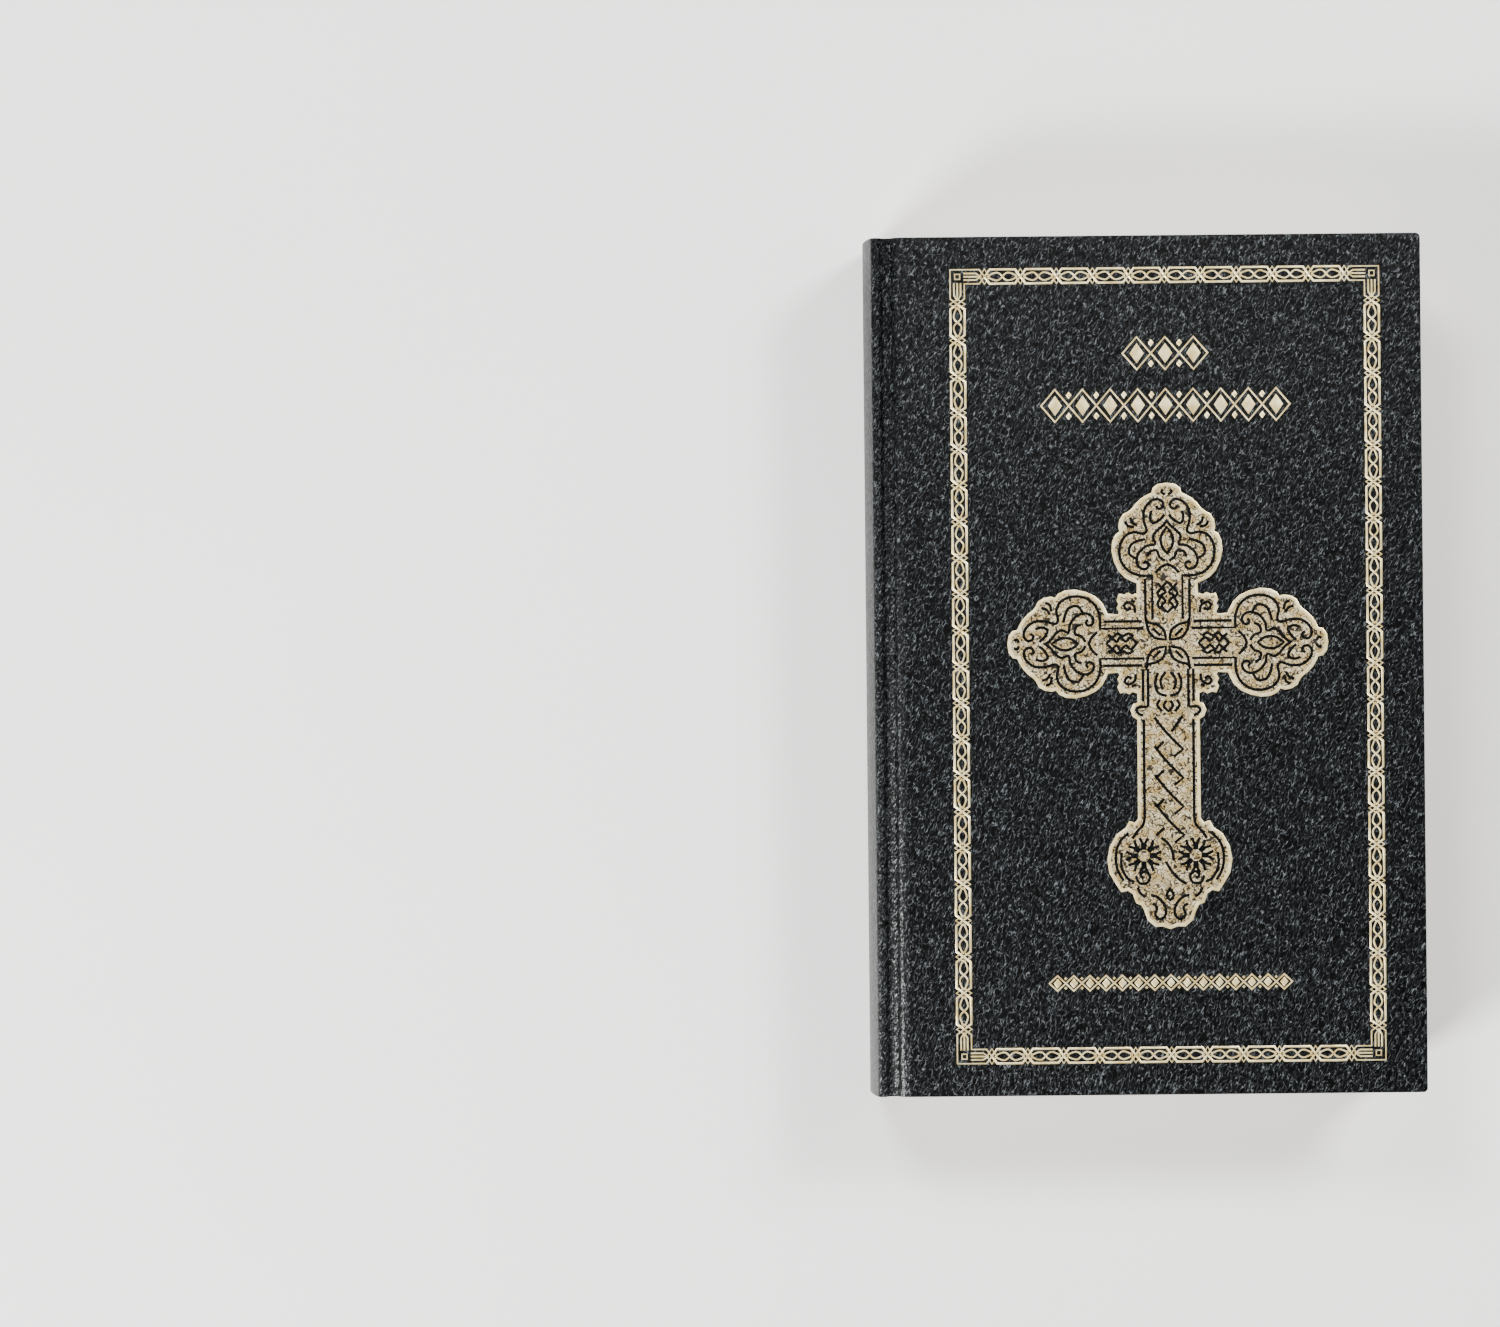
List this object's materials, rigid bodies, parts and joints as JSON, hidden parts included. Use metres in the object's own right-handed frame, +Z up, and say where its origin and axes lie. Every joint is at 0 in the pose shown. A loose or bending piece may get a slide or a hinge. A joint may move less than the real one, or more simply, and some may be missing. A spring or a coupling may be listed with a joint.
{
  "type": "case-bound bible",
  "caption": "Closed hardback devotional book: black leatherette case with French grooves, gold-foil border and cross, sewn page block; covers lift and the book opens flat in the middle.",
  "frame": {"origin": "middle of the closed book's footprint, on the surface that the back cover lies on", "axes": "+Z up through the front cover, +Y towards the head, +X towards the fore-edge (the spine is at -X)"},
  "size_m": [0.1436, 0.222, 0.038],
  "materials": {
    "leatherette": "fine pebble grain, satin",
    "board": "grey binder's board",
    "spine_card": "flexible card",
    "gold_foil": "hot-stamped pale gold foil",
    "gold_foil_deep": "hot-stamped gold foil",
    "endpaper": "uncoated cream paper",
    "pages": "thin cream paper",
    "mull": "open starched cotton weave",
    "thread": "waxed cotton thread",
    "kraft_lining": "kraft paper",
    "headband": "striped woven band"
  },
  "bodies": {
    "back_cover": {"back_board": "board", "back_cover_leatherette": "leatherette", "back_pastedown": "endpaper", "back_mull_flange": "mull"},
    "back_pages": {"signature_12": "pages", "signature_13": "pages", "signature_14": "pages", "signature_15": "pages", "signature_16": "pages", "signature_17": "pages", "signature_18": "pages", "signature_19": "pages", "signature_20": "pages", "signature_21": "pages", "signature_22": "pages", "back_endpaper_joint": "endpaper"},
    "back_leaf": {"back_flyleaf": "endpaper"},
    "spine": {"spine_leatherette": "leatherette", "spine_inlay": "spine_card", "front_joint_leatherette": "leatherette", "back_joint_leatherette": "leatherette", "mull": "mull", "spine_paper_lining": "kraft_lining", "sewing_thread": "thread", "headband_head": "headband", "headband_tail": "headband"},
    "front_pages": {"signature_01": "pages", "signature_02": "pages", "signature_03": "pages", "signature_04": "pages", "signature_05": "pages", "signature_06": "pages", "signature_07": "pages", "signature_08": "pages", "signature_09": "pages", "signature_10": "pages", "signature_11": "pages", "front_endpaper_joint": "endpaper"},
    "front_leaf": {"front_flyleaf": "endpaper"},
    "front_cover": {"front_board": "board", "front_cover_leatherette": "leatherette", "front_pastedown": "endpaper", "front_mull_flange": "mull", "foil_border": "gold_foil", "foil_cross": "gold_foil_deep", "foil_upper_ornament": "gold_foil", "foil_lower_ornament": "gold_foil"}
  },
  "joints": [
    {"name": "back_cover_hinge", "type": "hinge", "parent": "back_cover", "child": "back_pages", "pos_m": [-0.06815, 0, 0.0036], "axis": [0, -1, 0], "range_deg": [0, 90], "deforming": ["back_joint_leatherette", "back_endpaper_joint"]},
    {"name": "back_leaf_turn", "type": "hinge", "parent": "back_pages", "child": "back_leaf", "pos_m": [-0.06815, 0, 0.0036], "axis": [0, -1, 0], "range_deg": [-80, 0]},
    {"name": "middle_opening", "type": "hinge", "parent": "back_pages", "child": "spine", "pos_m": [-0.06815, 0, 0.0036], "axis": [0, 1, 0], "range_deg": [-90, 0]},
    {"name": "front_pages_turn", "type": "hinge", "parent": "spine", "child": "front_pages", "pos_m": [-0.06815, 0, 0.0343], "axis": [0, 1, 0], "range_deg": [-90, 0]},
    {"name": "front_cover_hinge", "type": "hinge", "parent": "front_pages", "child": "front_cover", "pos_m": [-0.06815, 0, 0.0343], "axis": [0, -1, 0], "range_deg": [0, 90], "deforming": ["front_joint_leatherette", "front_endpaper_joint"]},
    {"name": "front_leaf_turn", "type": "hinge", "parent": "front_pages", "child": "front_leaf", "pos_m": [-0.06815, 0, 0.0343], "axis": [0, -1, 0], "range_deg": [0, 80]}
  ],
  "couplings": [
    {"joint": "front_pages_turn", "follows": "middle_opening", "ratio": 1},
    {"joint": "front_leaf_turn", "follows": "front_cover_hinge", "ratio": 0.85},
    {"joint": "back_leaf_turn", "follows": "back_cover_hinge", "ratio": -0.85}
  ]
}
